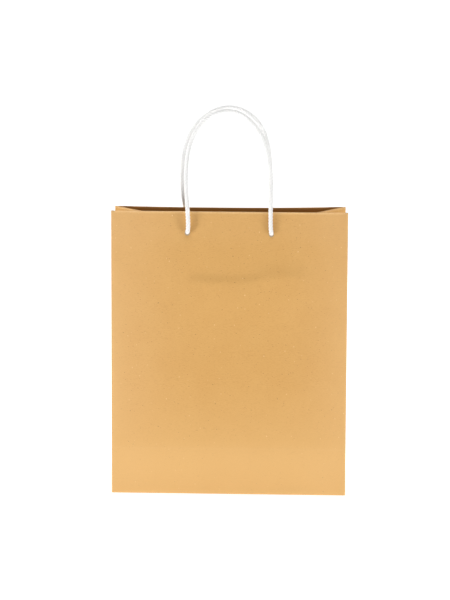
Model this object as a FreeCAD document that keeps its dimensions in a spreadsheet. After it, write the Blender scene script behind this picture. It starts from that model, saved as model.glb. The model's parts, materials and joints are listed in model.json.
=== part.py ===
import FreeCAD, Part
import math
import os

import Sketcher

# A folded kraft paper gift bag with two twisted cord handles, standing on its base.
# Frame: origin under the middle of the base, +Z up, the front panel towards -Y, sizes in millimetres.
# The two panels lean together above the base, and each side gusset folds inwards between them.

SIZES = {
    "width": 240.0,          # front panel, from side crease to side crease
    "height": 290.0,         # up the panel, from base crease to rim
    "depth": 100.0,          # base, front to back, and each gusset unfolded
    "mouth": 45.0,           # between the outer faces at the rim, as the bag stands
    "paper": 0.25,           # the sheet that everything is folded from
    "crease_gap": 0.3,       # between two plates that meet at a crease
    "fold_gap": 0.8,         # along the gusset folds, which open and close
    "hem_height": 38.0,      # sheet turned in at the rim
    "hem_margin": 12.0,      # from a side crease to the end of each turned-in hem
    "card_thickness": 0.8,   # reinforcing strips under the hem
    "card_length": 200.0,
    "card_height": 34.0,
    "base_card_thickness": 1.0,
    "base_card_gap": 2.0,    # all round the loose card
    "flap_lap": 10.0,        # each base flap past the middle
    "side_flap_depth": 40.0,
    "seam_lap": 14.0,        # glued lap that closes the tube
    "seam_inset": 3.0,
    "hole_spacing": 85.0,
    "hole_drop": 22.0,       # below the rim
    "cord_diameter": 4.0,
    "hole_play": 0.6,        # each hole's diameter over the cord's
    "cord_gap": 0.3,         # between the cord and the face that it lies against
    "knot_radius": 5.5,
    "knot_gap": 0.1,         # between a knot and the hem
    "tail_length": 14.0,     # loose end below a knot
}

# Corners of each handle's route, from the middle of its two holes, left to right along the front.
FRONT_ROUTE = [
    (-42.5, 0.0, 0.0),
    (-42.4, 0.6, 28.0),
    (-44.4, -1.6, 60.0),
    (-40.4, -4.0, 91.0),
    (-26.0, -5.5, 115.6),
    (0.0, -6.0, 125.2),
    (21.8, -5.5, 114.3),
    (36.2, -4.4, 92.2),
    (42.2, -2.4, 62.0),
    (41.5, -0.7, 28.0),
    (42.5, 0.0, 0.0),
]
BACK_ROUTE = [
    (-42.5, 0.0, 0.0),
    (-48.8, 0.0, 28.0),
    (-50.6, -0.8, 60.0),
    (-46.5, -1.2, 88.8),
    (-30.6, -1.2, 114.0),
    (-4.0, -1.0, 126.2),
    (21.2, -1.2, 118.7),
    (36.9, -1.4, 98.2),
    (42.0, -1.0, 68.0),
    (42.2, -0.2, 32.0),
    (42.5, 0.0, 0.0),
]
ARC_SHARE = 0.45             # of the shorter run, taken by the arc at a corner

X_AXIS = FreeCAD.Vector(1, 0, 0)
Y_AXIS = FreeCAD.Vector(0, 1, 0)
Z_AXIS = FreeCAD.Vector(0, 0, 1)


def place(x, y, z, axis=Z_AXIS, angle=0.0):
    """A placement at x, y, z, turned by angle in degrees."""
    return FreeCAD.Placement(FreeCAD.Vector(x, y, z), FreeCAD.Rotation(axis, angle))


def make_sheet(doc):
    """The spreadsheet of driving dimensions, one alias a row."""
    sheet = doc.addObject("Spreadsheet::Sheet", "sizes")
    for row, (name, value) in enumerate(SIZES.items(), start=1):
        sheet.set(f"A{row}", name)
        sheet.set(f"B{row}", str(value))
        sheet.setAlias(f"B{row}", name)
    doc.recompute()
    return sheet


def fix_point(sketch, geometry, position, across, up):
    """Holds a sketch point at two expressions, measured from the sketch's origin."""
    for kind, expression in (("DistanceX", across), ("DistanceY", up)):
        index = sketch.addConstraint(Sketcher.Constraint(kind, geometry, position, 1.0))
        sketch.setExpression(f"Constraints[{index}]", expression)


def plate(doc, label, plane, corners, thickness, placement, holes=()):
    """A flat piece of sheet or card as a body: an outline of corners, round holes, and a pad.
    On XZ_Plane the thickness grows along +Y, on XY_Plane along +Z."""
    body = doc.addObject("PartDesign::Body", label)
    body.Label = label
    sketch = body.newObject("Sketcher::SketchObject", f"{label}_outline")
    origin = [f for f in body.Origin.OriginFeatures if f.Role == plane][0]
    sketch.AttachmentSupport = (origin, [""])
    sketch.MapMode = "FlatFace"
    count = len(corners)
    ring = [2 * math.pi * k / count for k in range(count)]
    start = [FreeCAD.Vector(10 * math.cos(a), 10 * math.sin(a), 0) for a in ring]
    for k in range(count):
        sketch.addGeometry(Part.LineSegment(start[k], start[(k + 1) % count]), False)
    for k in range(count):
        sketch.addConstraint(Sketcher.Constraint("Coincident", k, 2, (k + 1) % count, 1))
    for k, (across, up) in enumerate(corners):
        fix_point(sketch, k, 1, across, up)
    for across, up in holes:
        circle = sketch.addGeometry(Part.Circle(FreeCAD.Vector(1, 1, 0), Z_AXIS, 2.0), False)
        fix_point(sketch, circle, 3, across, up)
        radius = sketch.addConstraint(Sketcher.Constraint("Radius", circle, 2.0))
        sketch.setExpression(f"Constraints[{radius}]", "(sizes.cord_diameter + sizes.hole_play) / 2")
    pad = body.newObject("PartDesign::Pad", f"{label}_pad")
    pad.Profile = sketch
    pad.setExpression("Length", thickness)
    pad.Reversed = plane == "XZ_Plane"
    body.Placement = placement
    return body


def rectangle(left, right, low, high):
    return [(left, low), (right, low), (right, high), (left, high)]


def hole_places():
    """The two cord holes, across and up a panel."""
    up = "sizes.height - sizes.hole_drop"
    return [("-sizes.hole_spacing / 2", up), ("sizes.hole_spacing / 2", up)]


def make_base(doc, size):
    """Four glued flaps in three layers, and the loose card on them."""
    edge = "(sizes.depth / 2 - sizes.paper - sizes.crease_gap)"
    side = "(sizes.width / 2 - sizes.paper - sizes.crease_gap)"
    layer = size["paper"]
    thick = "sizes.paper"
    back = rectangle(f"-{side}", side, "-sizes.flap_lap", edge)
    front = rectangle(f"-{side}", side, f"-{edge}", "sizes.flap_lap")
    made = [
        plate(doc, "base_back_flap", "XY_Plane", back, thick, place(0, 0, 0)),
        plate(doc, "base_front_flap", "XY_Plane", front, thick, place(0, 0, layer)),
    ]
    inner = f"({side} - sizes.side_flap_depth)"
    narrow = f"({edge} - sizes.side_flap_depth)"
    for label, hand in (("base_left_flap", "-1"), ("base_right_flap", "1")):
        flap = [
            (f"{hand} * {side}", f"-{edge}"),
            (f"{hand} * {side}", edge),
            (f"{hand} * {inner}", narrow),
            (f"{hand} * {inner}", f"-{narrow}"),
        ]
        made.append(plate(doc, label, "XY_Plane", flap, thick, place(0, 0, 2 * layer)))
    long_edge = "(sizes.width / 2 - sizes.base_card_gap)"
    short_edge = "(sizes.depth / 2 - sizes.base_card_gap)"
    card = rectangle(f"-{long_edge}", long_edge, f"-{short_edge}", short_edge)
    card_thick = "sizes.base_card_thickness"
    made.append(plate(doc, "base_card", "XY_Plane", card, card_thick, place(0, 0, 3 * layer)))
    return made


def make_knot(doc, label, across, panel, size):
    """An overhand knot inside the hem, its stub through the wall and its loose end below."""
    up = size["height"] - size["hole_drop"]
    deep = 2 * size["paper"] + size["card_thickness"] + size["knot_gap"] + size["knot_radius"]
    ball = doc.addObject("Part::Sphere", f"{label}_ball")
    ball.setExpression("Radius", "sizes.knot_radius")
    ball.Placement = place(across, deep, up)
    stub = doc.addObject("Part::Cylinder", f"{label}_stub")
    stub.setExpression("Radius", "sizes.cord_diameter / 2")
    wall = "2 * sizes.paper + sizes.card_thickness + sizes.knot_gap + sizes.knot_radius"
    stub.setExpression("Height", wall)
    stub.Placement = place(across, 0, up, X_AXIS, -90)
    tail = doc.addObject("Part::Cylinder", f"{label}_tail")
    tail.setExpression("Radius", "sizes.cord_diameter / 2")
    tail.setExpression("Height", "sizes.knot_radius + sizes.tail_length")
    tail.Placement = place(across, deep, up, X_AXIS, 180)
    knot = doc.addObject("Part::MultiFuse", label)
    knot.Label = label
    knot.Shapes = [ball, stub, tail]
    knot.Placement = panel
    return knot


def make_wall(doc, name, panel, size):
    """A panel with its turned-in hem, the card strip between them and two knots."""
    half = "sizes.width / 2"
    outline = rectangle(f"-{half}", half, "sizes.crease_gap", "sizes.height")
    thick = "sizes.paper"
    holes = hole_places()
    made = [plate(doc, f"{name}_panel", "XZ_Plane", outline, thick, panel, holes)]
    strip = rectangle(
        "-sizes.card_length / 2",
        "sizes.card_length / 2",
        "sizes.height - sizes.card_height",
        "sizes.height - sizes.crease_gap",
    )
    on_panel = panel * place(0, size["paper"], 0)
    card_thick = "sizes.card_thickness"
    made.append(plate(doc, f"{name}_rim_card", "XZ_Plane", strip, card_thick, on_panel, holes))
    hem_half = "(sizes.width / 2 - sizes.hem_margin)"
    hem = rectangle(f"-{hem_half}", hem_half, "sizes.height - sizes.hem_height", "sizes.height")
    on_card = panel * place(0, size["paper"] + size["card_thickness"], 0)
    made.append(plate(doc, f"{name}_hem", "XZ_Plane", hem, thick, on_card, holes))
    for hand, word in ((-1, "left"), (1, "right")):
        seen = hand if name == "front" else -hand  # the back wall is turned half round
        across = seen * size["hole_spacing"] / 2
        made.append(make_knot(doc, f"{name}_{word}_knot", across, panel, size))
    return made


def make_seam(doc, panel, size):
    """The glued lap that closes the sheet into a tube, inside the back panel's left edge."""
    right = "(sizes.width / 2 - sizes.seam_inset)"
    top = "sizes.height - sizes.hem_height - sizes.crease_gap"
    lap = rectangle(f"{right} - sizes.seam_lap", right, "2 * sizes.crease_gap + sizes.paper * 4", top)
    return plate(doc, "side_seam_lap", "XZ_Plane", lap, "sizes.paper", panel * place(0, size["paper"], 0))


def gusset_angles(size):
    """How far each outer gusset plate stands from its panel's normal, and the inner plates' lean."""
    reach = size["depth"] / 2 - size["crease_gap"]
    room = size["mouth"] / 2 - size["paper"] - 2 * size["crease_gap"]
    fold = math.acos(room / math.hypot(reach, size["paper"])) + math.atan2(size["paper"], reach)
    inwards = reach * math.sin(fold) + size["crease_gap"] - size["paper"]
    lean = math.asin(inwards / size["height"])
    return math.degrees(fold), math.degrees(lean)


def make_gusset_half(doc, label, hand, turn, panel, size):
    """One half of a side gusset: a long outer triangle from the panel's edge, its hem,
    and an inner triangle that stands on the base's side crease. hand is -1 for a left half seen
    from its own panel; turn is the half turn that takes the front to the back."""
    fold, lean = gusset_angles(size)
    gap, paper = size["crease_gap"], size["paper"]
    half = "(sizes.depth / 2)"
    side = -hand
    outer = [
        (f"{side} * sizes.crease_gap", f"2 * sizes.crease_gap * sizes.height / {half}"),
        (f"{side} * ({half} - sizes.crease_gap)", "sizes.height"),
        (f"{side} * sizes.crease_gap", "sizes.height"),
    ]
    hinge = place(hand * (size["width"] / 2 - gap), paper + gap, 0, Z_AXIS, side * (90 - fold))
    on_fold = panel * hinge
    hem_low = "(sizes.height - sizes.hem_height)"
    hem = [
        (f"{side} * sizes.hem_margin", hem_low),
        (f"{side} * ({half} * {hem_low} / sizes.height - 2 * sizes.crease_gap)", hem_low),
        (f"{side} * ({half} - 2 * sizes.crease_gap)", "sizes.height"),
        (f"{side} * sizes.hem_margin", "sizes.height"),
    ]
    low = "(4 * sizes.paper)"
    inner = [
        (f"{hand} * sizes.fold_gap / 2", low),
        (f"{hand} * ({half} * (1 - {low} / sizes.height) - sizes.fold_gap)", low),
        (f"{hand} * sizes.fold_gap / 2", f"sizes.height * (1 - 1.5 * sizes.fold_gap / {half})"),
    ]
    stand = place(hand * (size["width"] / 2 - paper), 0, 0, Y_AXIS, side * lean)
    on_base = turn * stand * place(0, 0, 0, Z_AXIS, side * 90)
    thick = "sizes.paper"
    return [
        plate(doc, f"{label}_outer", "XZ_Plane", outer, thick, on_fold),
        plate(doc, f"{label}_hem", "XZ_Plane", hem, thick, on_fold * place(0, -paper, 0)),
        plate(doc, f"{label}_inner", "XZ_Plane", inner, thick, on_base),
    ]


def round_route(points):
    """Straight runs joined by tangent arcs, each arc as large as its shorter run allows."""
    edges, radii = [], []
    last = points[0]
    for before, corner, after in zip(points, points[1:], points[2:]):
        arriving, leaving = corner - before, after - corner
        shorter = min(arriving.Length, leaving.Length)
        half_turn = arriving.getAngle(leaving) / 2
        cut = ARC_SHARE * shorter
        radii.append(cut / math.tan(half_turn))
        arriving.normalize()
        leaving.normalize()
        first, second = corner - arriving * cut, corner + leaving * cut
        inward = (leaving - arriving).normalize()
        middle = corner + inward * (radii[-1] / math.cos(half_turn) - radii[-1])
        edges.append(Part.LineSegment(last, first).toShape())
        edges.append(Part.Arc(first, middle, second).toShape())
        last = second
    edges.append(Part.LineSegment(last, points[-1]).toShape())
    return Part.Wire(edges), radii


def make_handle(doc, label, route, panel, turn_y, size):
    """A cord loop outside its panel. It swings about the line through its two holes."""
    out = size["cord_diameter"] / 2 + size["cord_gap"]
    pivot = panel.multVec(FreeCAD.Vector(0, -out, size["height"] - size["hole_drop"]))
    grow = size["hole_spacing"] / 2 / abs(route[0][0])
    points = [pivot + FreeCAD.Vector(x * grow, -y * turn_y, up) for x, y, up in route]
    wire, radii = round_route(points)
    radius = size["cord_diameter"] / 2
    ring = Part.Wire(Part.Circle(points[0], points[1] - points[0], radius).toShape())
    handle = doc.addObject("Part::Feature", label)
    handle.Label = label
    handle.Shape = wire.makePipeShell([ring], True, True)
    expected = math.pi * radius ** 2 * wire.Length
    print(label, "length", round(wire.Length, 1), "pivot", [round(v, 3) for v in pivot])
    print(label, "radii", [round(r, 1) for r in radii])
    print(label, "volume share", round(handle.Shape.Volume / expected, 4))
    return handle


def check_all(doc, made):
    """Stops before anything is written if an object failed or a shape is bad."""
    for thing in doc.Objects:
        if "Invalid" in thing.State or "Error" in thing.State:
            raise RuntimeError(f"{thing.Label} is {thing.State}")
    for node in made:
        if node.Shape.isNull() or not node.Shape.isValid() or node.Shape.Volume <= 0:
            raise RuntimeError(f"{node.Label} has a bad shape")


def main():
    doc = FreeCAD.newDocument("gift_bag")
    sheet = make_sheet(doc)
    size = {name: float(getattr(sheet, name)) for name in SIZES}
    lean = math.degrees(math.asin((size["depth"] - size["mouth"]) / 2 / size["height"]))
    front = place(0, -size["depth"] / 2, 0, X_AXIS, -lean)
    half_turn = place(0, 0, 0, Z_AXIS, 180)
    back = half_turn * front
    whole = place(0, 0, 0)

    made = make_base(doc, size)
    made += make_wall(doc, "front", front, size)
    made += make_wall(doc, "back", back, size)
    made.append(make_seam(doc, back, size))
    made += make_gusset_half(doc, "left_front_gusset", -1, whole, front, size)
    made += make_gusset_half(doc, "right_front_gusset", 1, whole, front, size)
    made += make_gusset_half(doc, "right_back_gusset", -1, half_turn, back, size)
    made += make_gusset_half(doc, "left_back_gusset", 1, half_turn, back, size)
    made.append(make_handle(doc, "front_handle_cord", FRONT_ROUTE, front, 1, size))
    made.append(make_handle(doc, "back_handle_cord", BACK_ROUTE, back, -1, size))

    doc.recompute()
    check_all(doc, made)
    fold, inner_lean = gusset_angles(size)
    print("panel lean", round(lean, 4), "gusset fold", round(fold, 4), "inner lean", round(inner_lean, 4))
    os.makedirs("parts", exist_ok=True)
    for node in made:
        node.Shape.exportStep(f"parts/{node.Label}.step")
    print(len(made), "parts written")


main()
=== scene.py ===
import json
import math

import bmesh
import bpy
from mathutils import Matrix, Vector, noise


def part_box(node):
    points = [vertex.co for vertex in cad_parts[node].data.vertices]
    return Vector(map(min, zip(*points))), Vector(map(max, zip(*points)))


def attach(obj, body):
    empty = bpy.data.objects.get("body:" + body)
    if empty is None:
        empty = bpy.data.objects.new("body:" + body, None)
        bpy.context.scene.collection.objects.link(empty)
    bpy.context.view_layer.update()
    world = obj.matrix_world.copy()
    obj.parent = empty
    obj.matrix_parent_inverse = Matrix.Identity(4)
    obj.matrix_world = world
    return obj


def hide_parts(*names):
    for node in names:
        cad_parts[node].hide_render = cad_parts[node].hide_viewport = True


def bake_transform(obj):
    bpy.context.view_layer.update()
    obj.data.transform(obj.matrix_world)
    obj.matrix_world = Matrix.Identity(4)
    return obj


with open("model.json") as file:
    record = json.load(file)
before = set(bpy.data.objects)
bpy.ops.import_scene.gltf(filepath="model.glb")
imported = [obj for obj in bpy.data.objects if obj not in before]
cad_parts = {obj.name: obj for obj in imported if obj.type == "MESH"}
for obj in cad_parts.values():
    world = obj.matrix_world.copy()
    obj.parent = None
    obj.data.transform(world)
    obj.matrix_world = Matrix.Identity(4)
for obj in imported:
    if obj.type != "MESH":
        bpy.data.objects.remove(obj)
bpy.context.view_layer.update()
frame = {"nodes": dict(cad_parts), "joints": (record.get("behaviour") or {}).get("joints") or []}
joints = {joint["name"]: joint for joint in frame["joints"]}

camera = {
    "place": Vector((0.0243, -1.5328, 0.4806)),
    "tilt": 10.605,    # degrees below level
    "yaw": 1.125,
    "roll": 0.42,
    "lens": 90.2,
}


def makeCamera():
    data = bpy.data.cameras.new("camera")
    data.lens = camera["lens"]
    data.sensor_width = 36
    data.clip_end = 50
    obj = bpy.data.objects.new("camera", data)
    yaw = Matrix.Rotation(math.radians(camera["yaw"]), 4, "Z")
    tilt = Matrix.Rotation(math.radians(90 - camera["tilt"]), 4, "X")
    roll = Matrix.Rotation(math.radians(camera["roll"]), 4, "Z")
    obj.matrix_world = Matrix.Translation(camera["place"]) @ yaw @ tilt @ roll
    bpy.context.scene.collection.objects.link(obj)
    bpy.context.scene.camera = obj


studio = {
    "sky": 0.36,
    "backdrop": 1.05,        # what the camera sees of the sky
    "lamps": (               # name, place, size, power
        ("leftLamp", (-0.84, -0.52, 0.05), 0.36, 6.3),
        ("rightLamp", (0.87, -0.54, 0.05), 0.36, 5.6),
        ("backLeftLamp", (-0.80, 1.00, 0.30), 0.60, 1.8),
        ("backRightLamp", (0.80, 1.00, 0.30), 0.60, 1.6),
        ("topLamp", (0.0, 0.14, 1.50), 0.50, 5.5),
    ),
    "floorColour": (0.90, 0.90, 0.90, 1),
    "floorGlow": 0.58,
}


def areaLight(name, place, size, power, aim):
    data = bpy.data.lights.new(name, "AREA")
    data.shape = "DISK"
    data.size = size
    data.energy = power
    obj = bpy.data.objects.new(name, data)
    obj.location = place
    obj.rotation_euler = (aim - place).to_track_quat("-Z", "Y").to_euler()
    obj.visible_camera = False
    bpy.context.scene.collection.objects.link(obj)


def makeStudio():
    world = bpy.data.worlds.new("softSky")
    world.use_nodes = True
    tree = world.node_tree
    sky = tree.nodes["Background"]
    sky.inputs["Color"].default_value = (1, 1, 1, 1)
    seen = tree.nodes.new("ShaderNodeLightPath")
    level = tree.nodes.new("ShaderNodeMapRange")
    level.inputs["To Min"].default_value = studio["sky"]
    level.inputs["To Max"].default_value = studio["backdrop"]
    tree.links.new(seen.outputs["Is Camera Ray"], level.inputs["Value"])
    tree.links.new(level.outputs["Result"], sky.inputs["Strength"])
    bpy.context.scene.world = world
    bpy.context.scene.view_settings.view_transform = "Standard"
    for name, place, size, power in studio["lamps"]:
        areaLight(name, Vector(place), size, power, Vector((0, 0, 0.15)))


def makeFloor():
    # A pale floor that curves up into a backdrop
    bm = bmesh.new()
    corners = [bm.verts.new((-6, y, 0)) for y in (-5.0, 1.6)]
    bm.edges.new(corners)
    bend = bmesh.ops.spin(
        bm, geom=[corners[1]], cent=(0, 1.6, 1.2), axis=(1, 0, 0), angle=math.radians(90), steps=16
    )
    last = [v for v in bend["geom_last"] if isinstance(v, bmesh.types.BMVert)][0]
    top = bm.verts.new((-6, last.co.y, 4.0))
    bm.edges.new((last, top))
    swept = bmesh.ops.extrude_edge_only(bm, edges=bm.edges[:])
    moved = [v for v in swept["geom"] if isinstance(v, bmesh.types.BMVert)]
    bmesh.ops.translate(bm, verts=moved, vec=(12, 0, 0))
    bmesh.ops.recalc_face_normals(bm, faces=bm.faces[:])
    mesh = bpy.data.meshes.new("studioFloor")
    bm.to_mesh(mesh)
    bm.free()
    for face in mesh.polygons:
        face.use_smooth = True
    obj = bpy.data.objects.new("studioFloor", mesh)
    bpy.context.scene.collection.objects.link(obj)
    material = bpy.data.materials.new("studioFloor")
    material.use_nodes = True
    shader = material.node_tree.nodes["Principled BSDF"]
    shader.inputs["Base Color"].default_value = studio["floorColour"]
    shader.inputs["Roughness"].default_value = 0.9
    shader.inputs["Specular IOR Level"].default_value = 0.1
    shader.inputs["Emission Color"].default_value = (1, 1, 1, 1)
    shader.inputs["Emission Strength"].default_value = studio["floorGlow"]
    mesh.materials.append(material)


makeCamera()
makeStudio()
makeFloor()
print("camera, lights and floor made")

panelLow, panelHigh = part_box("front_panel")
cardLow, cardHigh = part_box("front_rim_card")
hemLow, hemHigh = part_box("front_hem")
creaseGap = 0.0003
paper = 0.00025
halfWidth = panelHigh.x
lean = math.atan2(panelHigh.y - panelLow.y - paper, panelHigh.z - panelLow.z)
sinLean, cosLean = math.sin(lean), math.cos(lean)
height = panelHigh.z / cosLean
halfDepth = -panelLow.y + creaseGap * sinLean
cardHalf = cardHigh.x
rimRadius = (cardHigh.y - cardLow.y - (cardHigh.z - cardLow.z) * math.tan(lean)) / 2 + paper
hemLength = height - hemLow.z / cosLean
pivot = {
    -1: Vector(joints["front_handle_swing"]["pos_m"]),
    1: Vector(joints["back_handle_swing"]["pos_m"]),
}
holeX = 0.0425
holeUp = pivot[-1].z / cosLean - 0.0002
print("height", round(height, 4), "half depth", round(halfDepth, 4), "rim radius", round(rimRadius, 5))


def smooth(value, start, end):
    # 0 before start, 1 after end, and an even ease between
    t = min(1.0, max(0.0, (value - start) / (end - start)))
    return t * t * (3 - 2 * t)


def bell(value, width):
    return math.exp(-((value / width) ** 2))


sheet = {
    "sway": -0.0015,         # how far the rim leans to one side of the base
    "frontBow": -0.0022,     # rim's middle, outwards
    "backBow": 0.0060,       # rim's middle, inwards
    "wave": 0.00045,
    "ripple": 0.00012,
    "baseCrease": 0.047,     # up the wall, where the flat bag folds
    "baseBulge": 0.0005,
    "cornerRadius": 0.0004,
    "foldRadius": 0.0006,    # middle fold of each gusset
    "sink": 0.0015,          # extra drop of the gusset fold at the rim
    "twist": 0.23,           # tips the back rim, its right end up
}
dent = {
    "height": 0.2170,        # of its lower edge, up the front
    "rise": 0.0050,
    "above": 0.0070,
    "below": 0.0350,
    "depth": 0.0017,
}
holes = {                    # wall and hand: offset up, radius, depth and width of the dimple round it
    (-1, -1): (0.0001, 0.0027, 0.0017, 0.0055),
    (-1, 1): (-0.0008, 0.0025, 0.0007, 0.0026),
    (1, -1): (-0.0008, 0.0025, 0.0010, 0.0032),
    (1, 1): (-0.0008, 0.0025, 0.0010, 0.0032),
}


def relief(side, x, up):
    # How far the wall lies inwards of its flat plane. side is -1 for the front wall, 1 for the back
    rise = min(1.0, max(0.0, up / height))
    bow = sheet["frontBow"] if side < 0 else sheet["backBow"]
    across = 1 - min(1.0, abs(x) / halfWidth) ** 2
    calm = smooth(halfWidth - abs(x), 0.0, 0.014) * smooth(up, 0.0, 0.012)
    depth = bow * across * rise ** 2.2
    spot = Vector((x * 11, up * 8, 5.3 * side))
    depth += sheet["wave"] * noise.noise(spot) * calm
    depth += sheet["ripple"] * noise.noise(spot * 5.1) * calm
    crease = sheet["baseCrease"]
    bulge = up / crease if up < crease else 1 - smooth(up, crease, crease + 0.055)
    depth -= sheet["baseBulge"] * bulge * smooth(halfWidth - abs(x), 0.0, 0.006)
    depth += 0.00005 * bell(up - crease, 0.0009)
    if side < 0:
        turn = smooth(x, 0.018, 0.048)
        ridge = dent["height"] + dent["rise"] * turn
        width = dent["above"] + 0.004 * turn if up > ridge else dent["below"]
        ends = smooth(x, -0.050, -0.028) * (1 - smooth(x, 0.066, 0.088))
        depth -= dent["depth"] * (1 + 0.25 * turn) * bell(up - ridge, width) * ends
    above = up - holeUp
    for hand in (-1, 1):
        _, _, dimple, spread = holes[side, hand]
        reach = 0.020 if above > 0 else 0.0045
        depth += dimple * bell(x - hand * holeX, spread + 0.30 * max(0.0, above)) * bell(above, reach)
    return depth


def wallPoint(side, x, up, inward=0.0):
    # A point of a wall: x across, up along it, and inward from its outer face
    y = halfDepth - up * sinLean - inward * cosLean
    return Vector((x, side * y, up * cosLean - inward * sinLean))


def foldAngle(up):
    # Angle of a gusset half from the depth direction, at this height up the wall
    gap = max(0.0, halfDepth - up * sinLean)
    return math.acos(min(1.0, gap / halfDepth))


def swayed(point):
    # Leans a point over with the bag, which doesn't stand quite square
    rise = point.z / height
    tip = sheet["twist"] * point.x * max(0.0, point.y) * min(1.0, rise)
    return point + Vector((sheet["sway"] * rise, 0, tip))


def newObject(name, bm, material):
    for vert in bm.verts:
        vert.co = swayed(vert.co)
    mesh = bpy.data.meshes.new(name)
    bm.to_mesh(mesh)
    bm.free()
    for face in mesh.polygons:
        face.use_smooth = True
    obj = bpy.data.objects.new(name, mesh)
    mesh.materials.append(material)
    bpy.context.scene.collection.objects.link(obj)
    return obj


def flatGrid(left, right, low, high, across, along):
    # A flat pattern in x and y, ready to be cut and folded
    bm = bmesh.new()
    bmesh.ops.create_grid(bm, x_segments=across, y_segments=along, size=0.5)
    bmesh.ops.scale(bm, vec=(right - left, high - low, 1), verts=bm.verts[:])
    bmesh.ops.translate(bm, vec=((left + right) / 2, (low + high) / 2, 0), verts=bm.verts[:])
    return bm


def cutLine(bm, point, normal):
    everything = bm.verts[:] + bm.edges[:] + bm.faces[:]
    bmesh.ops.bisect_plane(bm, geom=everything, dist=1e-7, plane_co=point, plane_no=normal)


def punchHole(bm, x, y, radius):
    # A round hole in a flat pattern
    centre = Vector((x, y, 0))
    for reach, cuts in ((0.006, 2), (0.0038, 1)):
        near = [f for f in bm.faces if (f.calc_center_median() - centre).length < reach]
        edges = list({e for f in near for e in f.edges})
        bmesh.ops.subdivide_edges(bm, edges=edges, cuts=cuts, use_grid_fill=True)
    inside = [f for f in bm.faces if (f.calc_center_median() - centre).length < radius]
    bmesh.ops.delete(bm, geom=inside, context="FACES")
    for vert in bm.verts:
        away = vert.co - centre
        if vert.is_boundary and away.length < radius * 1.6:
            vert.co = centre + away.normalized() * radius


def thicken(obj, thickness):
    # Gives a sheet its wall, behind the face that its normals show
    solid = obj.modifiers.new("wall", "SOLIDIFY")
    solid.thickness = thickness
    solid.offset = -1
    return obj


def faceAlong(bm, point, direction):
    # Turns a whole sheet over if its face near point looks against direction
    bm.normal_update()
    face = min(bm.faces, key=lambda f: (f.calc_center_median() - point).length)
    if face.normal.dot(direction) < 0:
        bmesh.ops.reverse_faces(bm, faces=bm.faces[:])


def markWearAndPaintedLight(bm, **layers):
    for name, values in layers.items():
        layer = bm.verts.layers.float.new(name)
        for vert, value in zip(bm.verts, values):
            vert[layer] = min(1.0, value)


def paintedSheenAt(up, fromEdge):
    # painted sheen: the paper is drawn a little paler low down and just beside its side creases
    low = 0.68 * (1 - smooth(up, 0.025, 0.130)) + 0.32 * (1 - smooth(up, 0.036, 0.060))
    edge = (1 - low) * (1 - smooth(up, 0.150, 0.285)) * bell(fromEdge, 0.014)
    return 0.56 * low * (1 - 0.22 * bell(fromEdge, 0.012)) + 0.18 * edge


def paintedSideSheenAt(x, up):
    # painted sheen: greyer in a broad band down each side and near the rim, more so on the left
    left, right = 0.19 * bell(x + halfWidth, 0.055), 0.14 * bell(x - halfWidth, 0.042)
    return (left + right) * (0.35 + 0.65 * smooth(up, 0.03, 0.11)) + 0.06 * smooth(up, 0.245, 0.272)


kraft = {
    "colour": (0.620, 0.347, 0.109),
    "dark": (0.515, 0.272, 0.078),
    "light": (0.680, 0.405, 0.143),
    # paler colour for the painted sheen and the painted rim highlight
    "paintedSheenColour": (0.780, 0.490, 0.200),
    # colour of the painted sheen down the sides and near the rim
    "pale": (0.760, 0.490, 0.265),
    # painted shade: darker, redder colour for the hem turned inside the bag
    "inside": (0.520, 0.215, 0.045),
    # paler colour of worn folds, also used for the painted highlight along the rims
    "edge": (0.780, 0.530, 0.270),
    "darkFibre": (0.240, 0.115, 0.040),
    "lightFibre": (0.800, 0.560, 0.300),
    "rustFleck": (0.400, 0.180, 0.060),
    "roughness": 0.72,
}


def nodeMaker(material):
    # Adds a node, sets its inputs by name, and links those given as sockets
    tree = material.node_tree

    def add(kind, settings=None, **inputs):
        node = tree.nodes.new(kind)
        for key, value in (settings or {}).items():
            setattr(node, key, value)
        for key, value in inputs.items():
            numbered = key[0] == "i" and key[1:].isdigit()
            slot = node.inputs[int(key[1:])] if numbered else node.inputs[key]
            if isinstance(value, bpy.types.NodeSocket):
                tree.links.new(value, slot)
            else:
                slot.default_value = value
        return node

    return add


def mixColour(add, factor, first, second, blend="MIX"):
    node = add("ShaderNodeMix", {"data_type": "RGBA", "blend_type": blend})
    tree = node.id_data
    for index, value in ((0, factor), (6, first), (7, second)):
        if isinstance(value, bpy.types.NodeSocket):
            tree.links.new(value, node.inputs[index])
        else:
            node.inputs[index].default_value = value if index == 0 else (*value, 1)
    return node.outputs[2]


def ramp(add, value, low, high):
    node = add("ShaderNodeMapRange", {"clamp": True}, Value=value)
    node.inputs["From Min"].default_value = low
    node.inputs["From Max"].default_value = high
    return node.outputs["Result"]


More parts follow.
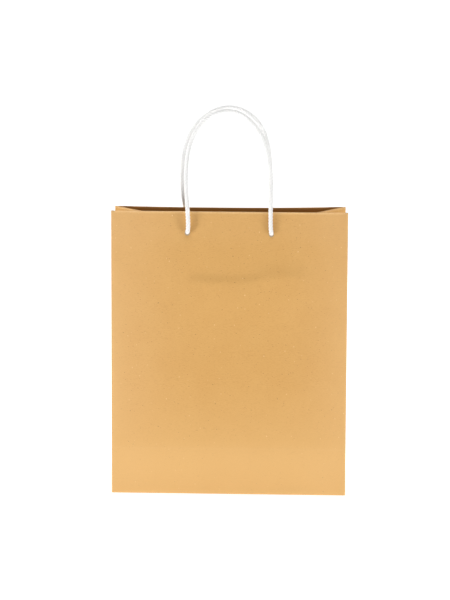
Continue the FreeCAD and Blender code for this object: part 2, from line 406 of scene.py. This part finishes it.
def kraftPaper(name, wornAndPaintedLight):
    # Brown kraft paper: cloudy tone, fine grain, sparse light and dark fibres, paler worn folds; the
    # worn sheet also carries painted sheen, a painted rim highlight and painted shade inside the hem
    material = bpy.data.materials.new(name)
    material.use_nodes = True
    add = nodeMaker(material)
    shader = material.node_tree.nodes["Principled BSDF"]
    place = add("ShaderNodeTexCoord").outputs["Object"]
    cloud = add("ShaderNodeTexNoise", Vector=place, Scale=34.0, Detail=4.0, Roughness=0.6)
    colour = mixColour(add, ramp(add, cloud.outputs[0], 0.35, 0.7), kraft["colour"], kraft["light"])
    colour = mixColour(add, 0.30, kraft["colour"], colour)
    stretch = {"vector_type": "POINT"}
    long = add("ShaderNodeMapping", stretch, Vector=place, Scale=(420.0, 420.0, 2600.0))
    flow = add("ShaderNodeTexNoise", Vector=long.outputs[0], Scale=1.0, Detail=3.0, Roughness=0.65)
    colour = mixColour(add, ramp(add, flow.outputs[0], 0.50, 0.80), colour, kraft["dark"])
    fleckSets = (
        ((240.0, 330.0, 420.0), (0.4, 0.7, 0.2), kraft["darkFibre"], 0.16, 0.95),
        ((330.0, 250.0, 210.0), (0.9, 0.1, 1.1), kraft["lightFibre"], 0.16, 0.90),
        ((520.0, 430.0, 610.0), (1.3, 0.5, 0.7), kraft["rustFleck"], 0.24, 0.75),
    )
    bend = add("ShaderNodeTexNoise", Vector=place, Scale=260.0, Detail=2.0)
    curled = mixColour(add, 0.0025, (0, 0, 0), bend.outputs[1])
    bent = add("ShaderNodeVectorMath", {"operation": "ADD"}, i0=place, i1=curled)
    for spread, turn, tint, largest, strength in fleckSets:
        drawn = add("ShaderNodeMapping", stretch, Vector=bent.outputs[0], Scale=spread, Rotation=turn)
        cell = add("ShaderNodeTexVoronoi", {"feature": "F1"}, Vector=drawn.outputs[0], Scale=1.0)
        shade = add("ShaderNodeSeparateColor", None, Color=cell.outputs[1])
        size = add("ShaderNodeMapRange", {"clamp": True}, Value=shade.outputs[0])
        size.inputs["From Min"].default_value = 0.60
        size.inputs["To Min"].default_value = 0.0
        size.inputs["To Max"].default_value = largest
        gap = add("ShaderNodeMath", {"operation": "SUBTRACT"}, i0=size.outputs[0], i1=cell.outputs[0])
        inside = ramp(add, gap.outputs[0], 0.0, 0.05)
        weak = add("ShaderNodeMath", {"operation": "MULTIPLY"}, i0=inside, i1=strength)
        colour = mixColour(add, weak.outputs[0], colour, tint)
    if wornAndPaintedLight:
        # painted sheen low down and by the side creases, with a painted highlight on the rim folds
        fade = add("ShaderNodeAttribute", {"attribute_name": "fade"}).outputs["Fac"]
        colour = mixColour(add, fade, colour, kraft["paintedSheenColour"])
        # painted sheen down each side and near the rim, stronger on the left
        pale = add("ShaderNodeAttribute", {"attribute_name": "pale"}).outputs["Fac"]
        colour = mixColour(add, pale, colour, kraft["pale"])
        # painted shade on the hem turned inside the bag
        deep = add("ShaderNodeAttribute", {"attribute_name": "inside"}).outputs["Fac"]
        colour = mixColour(add, deep, colour, kraft["inside"])
        # real wear at the corners and creases, plus a painted highlight along the rim folds
        wear = add("ShaderNodeAttribute", {"attribute_name": "wear"}).outputs["Fac"]
        rub = add("ShaderNodeTexNoise", Vector=place, Scale=900.0, Detail=3.0)
        patchy = ramp(add, rub.outputs[0], 0.3, 0.62)
        rubbedAndHighlit = add("ShaderNodeMath", {"operation": "MULTIPLY"}, i0=wear, i1=patchy)
        colour = mixColour(add, rubbedAndHighlit.outputs[0], colour, kraft["edge"])
    grain = add("ShaderNodeTexNoise", Vector=place, Scale=2300.0, Detail=5.0, Roughness=0.7)
    addUp = {"operation": "MULTIPLY_ADD"}
    felt = add("ShaderNodeMath", addUp, i0=flow.outputs[0], i1=0.7, i2=grain.outputs[0])
    bump = add("ShaderNodeBump", Height=felt.outputs[0], Strength=0.22, Distance=0.0002)
    rough = add("ShaderNodeMapRange", {"clamp": True}, Value=grain.outputs[0])
    rough.inputs["To Min"].default_value = kraft["roughness"] - 0.08
    rough.inputs["To Max"].default_value = kraft["roughness"] + 0.10
    links = material.node_tree.links
    links.new(colour, shader.inputs["Base Color"])
    links.new(rough.outputs[0], shader.inputs["Roughness"])
    links.new(bump.outputs[0], shader.inputs["Normal"])
    shader.inputs["Specular IOR Level"].default_value = 0.28
    return material


board = {
    "dark": (0.40, 0.33, 0.25),
    "light": (0.50, 0.42, 0.32),
    "speck": (0.22, 0.18, 0.14),
}
twist = {
    "dull": (0.85, 0.85, 0.842),
    "bright": (0.90, 0.90, 0.892),
    "groove": (0.40, 0.40, 0.395),
    "painted_glow": 0.025,
}


def greyBoard(name):
    # Recycled board: speckled grey-brown with a soft grain
    material = bpy.data.materials.new(name)
    material.use_nodes = True
    add = nodeMaker(material)
    shader = material.node_tree.nodes["Principled BSDF"]
    place = add("ShaderNodeTexCoord").outputs["Object"]
    cloud = add("ShaderNodeTexNoise", Vector=place, Scale=60.0, Detail=5.0)
    patches = ramp(add, cloud.outputs[0], 0.3, 0.7)
    colour = mixColour(add, patches, board["dark"], board["light"])
    speck = add("ShaderNodeTexNoise", Vector=place, Scale=1300.0, Detail=2.0)
    colour = mixColour(add, ramp(add, speck.outputs[0], 0.62, 0.70), colour, board["speck"])
    bump = add("ShaderNodeBump", Height=speck.outputs[0], Strength=0.2, Distance=0.0002)
    links = material.node_tree.links
    links.new(colour, shader.inputs["Base Color"])
    links.new(bump.outputs[0], shader.inputs["Normal"])
    shader.inputs["Roughness"].default_value = 0.85
    shader.inputs["Specular IOR Level"].default_value = 0.2
    return material


def twistedPaperCord(name):
    # White twisted paper: fine spiral ridges along each strand, with painted shade greying the grooves
    material = bpy.data.materials.new(name)
    material.use_nodes = True
    add = nodeMaker(material)
    shader = material.node_tree.nodes["Principled BSDF"]
    chart = add("ShaderNodeUVMap", {"uv_map": "strand"}).outputs[0]
    lay = {"Vector": chart, "Scale": (9.0, 1.0, 1.0), "Rotation": (0, 0, 0.9)}
    ridges = add("ShaderNodeMapping", {"vector_type": "POINT"}, **lay)
    bands = {"wave_type": "BANDS", "bands_direction": "X"}
    lines = add("ShaderNodeTexWave", bands, Vector=ridges.outputs[0])
    lines.inputs["Scale"].default_value = 0.9
    lines.inputs["Distortion"].default_value = 3.0
    lines.inputs["Detail"].default_value = 3.0
    lines.inputs["Detail Scale"].default_value = 2.0
    place = add("ShaderNodeTexCoord").outputs["Object"]
    fuzz = add("ShaderNodeTexNoise", Vector=place, Scale=1500.0, Detail=4.0)
    groove = add("ShaderNodeAttribute", {"attribute_name": "groove"}).outputs["Fac"]
    colour = mixColour(add, ramp(add, fuzz.outputs[0], 0.3, 0.7), twist["dull"], twist["bright"])
    # painted shade in the grooves between the strands
    colour = mixColour(add, groove, colour, twist["groove"])
    addUp = {"operation": "MULTIPLY_ADD"}
    tone = add("ShaderNodeMath", addUp, i0=fuzz.outputs[0], i1=0.5, i2=lines.outputs[1])
    bump = add("ShaderNodeBump", Height=tone.outputs[0], Strength=0.35, Distance=0.00012)
    links = material.node_tree.links
    links.new(colour, shader.inputs["Base Color"])
    links.new(bump.outputs[0], shader.inputs["Normal"])
    shader.inputs["Roughness"].default_value = 0.6
    shader.inputs["Specular IOR Level"].default_value = 0.35
    # painted light: a faint glow makes the white cord brighter than its lamps light it
    shader.inputs["Emission Color"].default_value = (1, 0.99, 0.97, 1)
    shader.inputs["Emission Strength"].default_value = twist["painted_glow"]
    return material


kraftSheet = kraftPaper("kraftSheet", wornAndPaintedLight=True)
kraftFlap = kraftPaper("kraftFlap", wornAndPaintedLight=False)
boardMaterial = greyBoard("greyBoard")
cordMaterial = twistedPaperCord("twistedCord")
print("materials made")

wall = {
    "columns": 110,
    "rows": 150,
    "wrap": 0.0014,          # flat length of the bend at a side crease
    "wrapArc": 0.0011,
    "hemInset": 0.0035,      # from a side crease to the hem's end
    "thinRim": 0.0003,       # fold radius where no card lies in it
}


def rimFold(x):
    # The rim's fold radius: round the card in the middle, tight beyond its ends
    over = 1 - smooth(abs(x), cardHalf, cardHalf + 0.004)
    return wall["thinRim"] + (rimRadius - wall["thinRim"]) * over


def wallSurface(side, x, flat):
    # Folds a point of the flat pattern: up the outer face, over the rim and down inside
    fold = rimFold(x)
    start = height - rimRadius
    over = math.pi * rimRadius
    if flat <= start:
        up, inward = flat * (height - fold) / start, 0.0
    elif flat <= start + over:
        angle = (flat - start) / rimRadius
        up, inward = height - fold + fold * math.sin(angle), fold - fold * math.cos(angle)
    else:
        up, inward = height - fold - (flat - start - over), 2 * fold
    edge = halfWidth - sheet["cornerRadius"]
    if abs(x) <= edge:
        return wallPoint(side, x, up, inward + relief(side, x, up))
    radius = sheet["cornerRadius"]
    turn = math.pi / 2 + foldAngle(up)
    past = abs(x) - edge
    angle = turn * min(1.0, past / wall["wrapArc"])
    tail = max(0.0, past - wall["wrapArc"])
    across = edge + radius * math.sin(angle) + tail * math.cos(angle)
    deep = radius - radius * math.cos(angle) + tail * math.sin(angle)
    return wallPoint(side, math.copysign(across, x), up, deep)


def makeWall(side, name, body):
    half = halfWidth - sheet["cornerRadius"] + wall["wrap"]
    start = height - rimRadius
    over = math.pi * rimRadius
    top = start + over + hemLength - rimRadius
    bm = flatGrid(-half, half, 0.0, top, wall["columns"], wall["rows"])
    edge = halfWidth - sheet["cornerRadius"]
    for hand in (-1, 1):
        for step in range(8):
            cutLine(bm, (hand * (edge + wall["wrapArc"] * step / 7), 0, 0), (1, 0, 0))
        cutLine(bm, (hand * (halfWidth - wall["hemInset"]), 0, 0), (1, 0, 0))
        cutLine(bm, (hand * (cardHalf + 0.002), 0, 0), (1, 0, 0))
        cutLine(bm, (hand * (cardHalf + 0.004), 0, 0), (1, 0, 0))
    for step in range(9):
        cutLine(bm, (0, start + over * step / 8, 0), (0, 1, 0))
    for offset in (-0.0012, -0.0005, 0.0, 0.0005, 0.0012):
        cutLine(bm, (0, sheet["baseCrease"] + offset, 0), (0, 1, 0))
    for hand in (-1, 1):
        offset, radius, _, _ = holes[side, hand]
        punchHole(bm, hand * holeX, holeUp + offset, radius)
    limit = halfWidth - wall["hemInset"]
    middles = [(face, face.calc_center_median()) for face in bm.faces]
    corners = [face for face, middle in middles if abs(middle.x) > limit and middle.y > start]
    bmesh.ops.delete(bm, geom=corners, context="FACES")
    wear, fade, pale, inside = [], [], [], []
    for vert in bm.verts:
        x, flat = vert.co.x, vert.co.y
        # the rim fold, drawn with a painted highlight through the wear and sheen layers; the corner
        # and crease wear is real
        rim = bell(flat - start - over * 0.3, over * 0.5)
        corner = bell(abs(x) - halfWidth, 0.0009)
        crease = 0.10 * bell(flat - sheet["baseCrease"], 0.0010)
        wear.append(rim + 0.6 * corner + crease + 0.3 * bell(flat, 0.002))
        fade.append(paintedSheenAt(flat, halfWidth - abs(x)) + 0.6 * rim)
        pale.append(paintedSideSheenAt(x, min(flat, height)) if flat < start + over else 0.0)
        # painted shade on the inside of the hem
        inside.append(0.85 * smooth(flat, start + over * 0.8, start + over * 1.4))
        vert.co = wallSurface(side, x, flat)
    markWearAndPaintedLight(bm, wear=wear, fade=fade, pale=pale, inside=inside)
    faceAlong(bm, wallPoint(side, 0, height / 2), Vector((0, side, 0)))
    obj = thicken(newObject(f"{name}_wall_sheet", bm, kraftSheet), paper)
    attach(obj, body)
    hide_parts(f"{name}_panel", f"{name}_hem")
    return obj


def bentStrip(name, body, node, side, left, right, low, high, inward, thickness, material):
    # A flat strip that follows its wall's bow, with its outer face at inward
    bm = flatGrid(left, right, low, high, 60, 24)
    for vert in bm.verts:
        x, up = vert.co.x, vert.co.y
        vert.co = wallPoint(side, x, up, inward + relief(side, x, up))
    middle = wallPoint(side, (left + right) / 2, (low + high) / 2)
    faceAlong(bm, middle, Vector((0, side, 0)))
    obj = thicken(newObject(name, bm, material), thickness)
    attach(obj, body)
    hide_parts(node)
    return obj


for side, name in ((-1, "front"), (1, "back")):
    makeWall(side, name, f"{name}_wall")
    bentStrip(
        f"{name}_rim_strip", f"{name}_wall", f"{name}_rim_card", side,
        -cardHalf, cardHalf, height - 0.034, height - 0.0004,
        paper + 0.00003, 2 * (rimRadius - paper) - 0.00006, boardMaterial,
    )
seamLow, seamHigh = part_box("side_seam_lap")
bentStrip(
    "seam_lap_strip", "back_wall", "side_seam_lap", 1,
    seamLow.x, seamHigh.x, 0.0025, seamHigh.z / cosLean,
    paper + 0.00004, paper, kraftFlap,
)
print("walls made")

gusset = {
    "clear": 0.00005,        # keeps it just behind the wall's own bend
    "proud": 0.00045,        # how far it stands outside the base's flaps
    "columns": 20,
    "rows": 120,
    "hemOffset": 0.00042,
    "rimRadius": 0.00021,
    "puff": 0.0006,
}


def gussetStart(hand, side, up):
    # Where a gusset half leaves the bend at the wall's side crease
    radius, fold = sheet["cornerRadius"], foldAngle(up)
    across = halfWidth - radius + radius * math.cos(fold)
    return wallPoint(side, hand * across, up, radius + radius * math.sin(fold))


def gussetFold(hand, up):
    # The middle fold of a gusset: its place at this height, and how far round the bend starts
    fold = foldAngle(up)
    start = gussetStart(1, -1, up)
    radius = sheet["foldRadius"]
    run = (-radius * math.sin(fold) - start.y) / math.cos(fold)
    bendX = start.x - run * math.sin(fold)
    return bendX, run, fold


def apexPlace():
    # The point where a gusset's slanting creases meet, half the depth up its middle
    bendX, _, fold = gussetFold(1, halfDepth)
    inwards = halfWidth - (bendX - sheet["foldRadius"] * (1 - math.cos(fold)))
    return inwards, math.sqrt(halfDepth ** 2 - inwards ** 2)


apexIn, apexUp = apexPlace()


def foldHeight(up):
    # Height above the base of the middle fold, where the wall's own length up is up
    bendX, _, fold = gussetFold(1, up)
    inwards = halfWidth - (bendX - sheet["foldRadius"] * (1 - math.cos(fold)))
    run = up - halfDepth
    straight = math.sqrt(max(0.0, run ** 2 - (inwards - apexIn) ** 2))
    return apexUp + straight - sheet["sink"] * (run / (height - halfDepth)) ** 2


def gussetSurface(hand, side, share, up, lift=0.0):
    # A point of a gusset half. share runs from the side crease (0) to the middle fold (1); lift moves
    # it towards the inside of the bag
    lift += gusset["clear"]
    start = gussetStart(hand, side, up)
    reach = share * halfDepth
    if up < halfDepth and reach > up:    # the triangle that stands on the base's side crease
        tilt = math.asin(min(1.0, apexIn / halfDepth))
        across = halfWidth - up * math.sin(tilt)
        spot = Vector((hand * across, side * (halfDepth - reach), up * math.cos(tilt)))
        proud = gusset["proud"] * (1 - smooth(up, 0.0, 0.004)) * smooth(reach, 0.0, 0.006)
        return spot + Vector((hand * (proud - lift), 0, 0))
    if up < halfDepth:
        part = up / halfDepth
        across = halfWidth - apexIn * part
        crease = Vector((hand * across, side * halfDepth * (1 - part), apexUp * part))
        along = reach / max(up, 1e-6)
        spot = start.lerp(crease, along)
        return spot + Vector((-hand * lift, side * lift * 0.4, 0))
    bendX, run, fold = gussetFold(1, up)
    radius = sheet["foldRadius"]
    arc = radius * fold
    travel = share * (run + arc)
    top = foldHeight(up)
    z = start.z + (top - start.z) * share
    wander = noise.noise(Vector((hand * 3.1, side * 2.3, up * 9)))
    puff = gusset["puff"] * math.sin(math.pi * share) * wander
    puff *= smooth(up, halfDepth, halfDepth + 0.04)
    out = lift + puff
    if travel <= run:
        x = abs(start.x) - travel * math.sin(fold)
        y = -abs(start.y) + travel * math.cos(fold)
        spot = Vector((x - out * math.cos(fold), y - out * math.sin(fold), z))
    else:
        angle = fold * (1 - (travel - run) / arc)
        x = bendX + radius * math.cos(fold) - (radius + out) * math.cos(angle)
        y = -(radius + out) * math.sin(angle)
        spot = Vector((x, y, z))
    return Vector((hand * spot.x, -side * spot.y, spot.z))


def makeGusset(hand, side, label):
    # One half of a side gusset with its hem turned in at the rim, from the wall to the middle fold
    over = math.pi * gusset["rimRadius"]
    top = height + over + hemLength
    bm = flatGrid(0.0, halfDepth, 0.0, top, gusset["columns"], gusset["rows"])
    cutLine(bm, (0, 0, 0), (1, -1, 0))
    for offset in (0.0006, 0.0015):
        cutLine(bm, (offset, 0, 0), (1, -1, 0))
        cutLine(bm, (0, offset, 0), (1, -1, 0))
    cutLine(bm, (0, halfDepth, 0), (0, 1, 0))
    for step in range(6):
        cutLine(bm, (0, height + over * step / 5, 0), (0, 1, 0))
    for step in range(6):
        cutLine(bm, (halfDepth * (1 - 0.0035 * step), 0, 0), (1, 0, 0))
    wear, fade = [], []
    for vert in bm.verts:
        share, flat = min(1.0, max(0.0, vert.co.x / halfDepth)), max(0.0, vert.co.y)
        slant = bell(vert.co.x - flat, 0.0008) if flat < halfDepth else 0.0
        middle = bell(vert.co.x - halfDepth, 0.0012) if flat > halfDepth else 0.0
        # the rim fold, drawn with a painted highlight through the wear and sheen layers; the fold wear
        # is real
        rim = bell(flat - height - over / 2, 0.001)
        wear.append(0.5 * slant + 0.6 * middle + 0.8 * rim)
        fade.append(paintedSheenAt(flat, share * halfDepth) + 0.6 * rim)
        if flat <= height:
            vert.co = gussetSurface(hand, side, share, flat)
        elif flat <= height + over:
            angle = (flat - height) / gusset["rimRadius"]
            up = height + gusset["rimRadius"] * math.sin(angle)
            lift = gusset["rimRadius"] * (1 - math.cos(angle))
            vert.co = gussetSurface(hand, side, share, up, lift)
        else:
            lift = gusset["hemOffset"] * (0.4 + 0.6 * smooth(share, 0.0, 0.1))
            vert.co = gussetSurface(hand, side, share, 2 * height + over - flat, lift)
    markWearAndPaintedLight(bm, wear=wear, fade=fade)
    bmesh.ops.dissolve_degenerate(bm, dist=1e-6, edges=bm.edges[:])
    inside = gussetSurface(hand, side, 0.5, height * 0.6)
    fold = foldAngle(height * 0.6)
    faceAlong(bm, inside, Vector((hand * math.cos(fold), -side * math.sin(fold), 0)))
    obj = thicken(newObject(f"{label}_gusset_sheet", bm, kraftSheet), paper)
    node = f"{label}_gusset"
    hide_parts(f"{node}_outer", f"{node}_hem", f"{node}_inner")
    rim = wallPoint(side, hand * halfWidth, height)
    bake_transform(obj)
    return obj


for hand, handName in ((-1, "left"), (1, "right")):
    for side, sideName in ((-1, "front"), (1, "back")):
        makeGusset(hand, side, f"{handName}_{sideName}")
print("gussets made")

cord = {
    "diameter": 0.0040,
    "strands": 3,
    "strandRadius": 0.00106,
    "pitch": 0.0095,
    "sides": 12,
    "step": 0.0006,
}


def splinePoints(name, corners):
    # Points read from the smooth line through a route's control points
    data = bpy.data.curves.new(name, "CURVE")
    data.dimensions = "3D"
    data.resolution_u = 24
    spline = data.splines.new("NURBS")
    spline.points.add(len(corners) - 1)
    for point, corner in zip(spline.points, corners):
        point.co = (*corner, 1)
    spline.order_u = 3
    spline.use_endpoint_u = True
    obj = bpy.data.objects.new(name, data)
    bpy.context.scene.collection.objects.link(obj)
    bpy.context.view_layer.update()
    mesh = bpy.data.meshes.new_from_object(obj)
    points = [v.co.copy() for v in mesh.vertices]
    bpy.data.meshes.remove(mesh)
    bpy.data.objects.remove(obj)
    bpy.data.curves.remove(data)
    return points


def evenly(points, step):
    # The same line with its points an even step apart
    lengths = [0.0]
    for first, second in zip(points, points[1:]):
        lengths.append(lengths[-1] + (second - first).length)
    count = max(2, round(lengths[-1] / step))
    spaced, index = [], 0
    for k in range(count + 1):
        target = lengths[-1] * k / count
        while index < len(lengths) - 2 and lengths[index + 1] < target:
            index += 1
        gap = max(1e-9, lengths[index + 1] - lengths[index])
        spaced.append(points[index].lerp(points[index + 1], (target - lengths[index]) / gap))
    return spaced, lengths[-1]


def travelFrames(points):
    # A steady pair of cross directions at each point of a line
    frames = []
    ahead = (points[1] - points[0]).normalized()
    cross = ahead.orthogonal().normalized()
    for k, point in enumerate(points):
        after = points[min(k + 1, len(points) - 1)]
        before = points[max(k - 1, 0)]
        now = (after - before).normalized()
        cross = (cross - now * cross.dot(now)).normalized()
        frames.append((point, cross.copy(), now.cross(cross)))
    return frames


def twistStrands(name, points, radius, material, splay=0.0):
    # Three round strands laid up around a line, with a chart for their fibres
    bm = bmesh.new()
    chart = bm.loops.layers.uv.new("strand")
    groove = bm.verts.layers.float.new("groove")
    frames = travelFrames(points)
    spread = radius * 1.02 / math.cos(math.pi / 6)
    last = len(frames) - 1
    for strand in range(cord["strands"]):
        line = []
        for k, (point, first, second) in enumerate(frames):
            angle = 2 * math.pi * (k * cord["step"] / cord["pitch"] + strand / cord["strands"])
            left = max(0.0, 1 - (last - k) * cord["step"] / 0.004)
            away = spread * (1 + splay * left * left)
            line.append(point + (first * math.cos(angle) + second * math.sin(angle)) * away)
        rings = travelFrames(line)
        grid = bmesh.ops.create_grid(bm, x_segments=cord["sides"], y_segments=last, size=0.5)
        places = {vert: (vert.co.x + 0.5, round((vert.co.y + 0.5) * last)) for vert in grid["verts"]}
        for face in {face for vert in grid["verts"] for face in vert.link_faces}:
            for loop in face.loops:
                around, k = places[loop.vert]
                loop[chart].uv = (around, k * cord["step"] / (2 * math.pi * radius))
        for vert, (around, k) in places.items():
            centre, first, second = rings[k]
            angle = 2 * math.pi * around
            vert.co = centre + (first * math.cos(angle) + second * math.sin(angle)) * radius
            # painted shade, strongest where the strands meet near the cord's middle
            vert[groove] = 1 - smooth((vert.co - frames[k][0]).length / (radius * 2.15), 0.45, 0.85)
    bmesh.ops.remove_doubles(bm, verts=bm.verts[:], dist=1e-6)
    bmesh.ops.holes_fill(bm, edges=[edge for edge in bm.edges if edge.is_boundary], sides=0)
    bmesh.ops.recalc_face_normals(bm, faces=bm.faces[:])
    return newObject(name, bm, material)


# Corners of each handle's route, from the middle of its two holes, left to right along the front.
# y runs inwards from the line through the holes.
frontRoute = [
    (-0.0425, 0.0075, 0.0003),
    (-0.0425, 0.0002, 0.0009),
    (-0.0413, -0.0018, 0.0070),
    (-0.0424, -0.0012, 0.0280),
    (-0.0444, 0.0016, 0.0600),
    (-0.0404, 0.0040, 0.0910),
    (-0.0260, 0.0055, 0.1156),
    (0.0000, 0.0060, 0.1252),
    (0.0218, 0.0055, 0.1143),
    (0.0362, 0.0044, 0.0922),
    (0.0422, 0.0024, 0.0620),
    (0.0415, 0.0012, 0.0280),
    (0.0416, -0.0004, 0.0060),
    (0.0425, 0.0002, -0.0008),
    (0.0425, 0.0075, 0.0003),
]
backRoute = [
    (-0.0425, 0.0075, 0.0003),
    (-0.0425, 0.0002, -0.0008),
    (-0.0432, -0.0010, 0.0060),
    (-0.0488, 0.0000, 0.0280),
    (-0.0506, 0.0008, 0.0600),
    (-0.0465, 0.0012, 0.0888),
    (-0.0306, 0.0012, 0.1140),
    (-0.0040, 0.0010, 0.1262),
    (0.0212, 0.0012, 0.1187),
    (0.0369, 0.0014, 0.0982),
    (0.0420, 0.0010, 0.0680),
    (0.0422, 0.0002, 0.0320),
    (0.0424, -0.0010, 0.0060),
    (0.0425, 0.0002, -0.0008),
    (0.0425, 0.0075, 0.0003),
]

knot = {
    "loop": 0.0044,          # radius of the loops, to the cord's middle
    "thick": 0.0021,
    "deep": 0.0056,          # knot's middle, inwards of the wall's outer face
    "tail": 0.015,
    "strandRadius": 0.00098,
}


def knotPoints(x, side, sway):
    # an overhand knot behind a hole: in through the wall, round three loops, and down as an end
    shift = relief(side, x, holeUp)
    offset = holes[side, 1 if x > 0 else -1][0] + 0.0008
    corners = [(x, holeUp + offset, shift + 0.0010)]
    start, end = 0.32 * math.pi, 2.12 * math.pi
    for step in range(17):
        t = start + (end - start) * step / 16
        across = knot["loop"] * (math.sin(t) + 2 * math.sin(2 * t)) / 2.6
        up = knot["loop"] * (math.cos(t) - 2 * math.cos(2 * t)) / 2.6
        deep = -knot["thick"] * math.sin(3 * t)
        corners.append((x + across, holeUp + up, shift + knot["deep"] + deep))
    last = corners[-1]
    for part, slide in ((0.35, 0.15), (0.7, 0.6), (1.0, 1.0)):
        drop = 0.004 + knot["tail"] * part
        corners.append((last[0] + sway * slide, holeUp - drop, last[2] + 0.0015 * part))
    return [wallPoint(side, a, b, c) for a, b, c in corners]


def makeKnot(name, body, node, x, side, sway):
    points, _ = evenly(splinePoints(name, knotPoints(x, side, sway)), cord["step"])
    obj = twistStrands(name, points, knot["strandRadius"], cordMaterial, splay=0.9)
    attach(obj, body)
    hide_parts(node)
    return obj


def makeHandle(side, name, route, sways):
    for hand, word in ((-1, "left"), (1, "right")):
        label = f"{name}_{word}_knot"
        makeKnot(f"{label}_cord", f"{name}_wall", label, hand * holeX, side, sways[hand])
    shift = relief(side, holeX, holeUp)
    corners = [pivot[side] + Vector((x, -side * (y + shift), z)) for x, y, z in route]
    points, length = evenly(splinePoints(f"{name}_route", corners), cord["step"])
    obj = twistStrands(f"{name}_handle", points, cord["strandRadius"], cordMaterial)
    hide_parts(f"{name}_handle_cord")
    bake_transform(obj)
    print(name, "handle length", round(length, 4))
    return obj


makeHandle(-1, "front", frontRoute, {-1: 0.002, 1: -0.003})
makeHandle(1, "back", backRoute, {-1: -0.002, 1: 0.003})
print("cords made")

for node, material in (
    ("base_back_flap", kraftFlap),
    ("base_front_flap", kraftFlap),
    ("base_left_flap", kraftFlap),
    ("base_right_flap", kraftFlap),
    ("base_card", boardMaterial),
):
    holder = frame["nodes"][node]
    holder.data.materials.clear()
    holder.data.materials.append(material)
print("base finished")
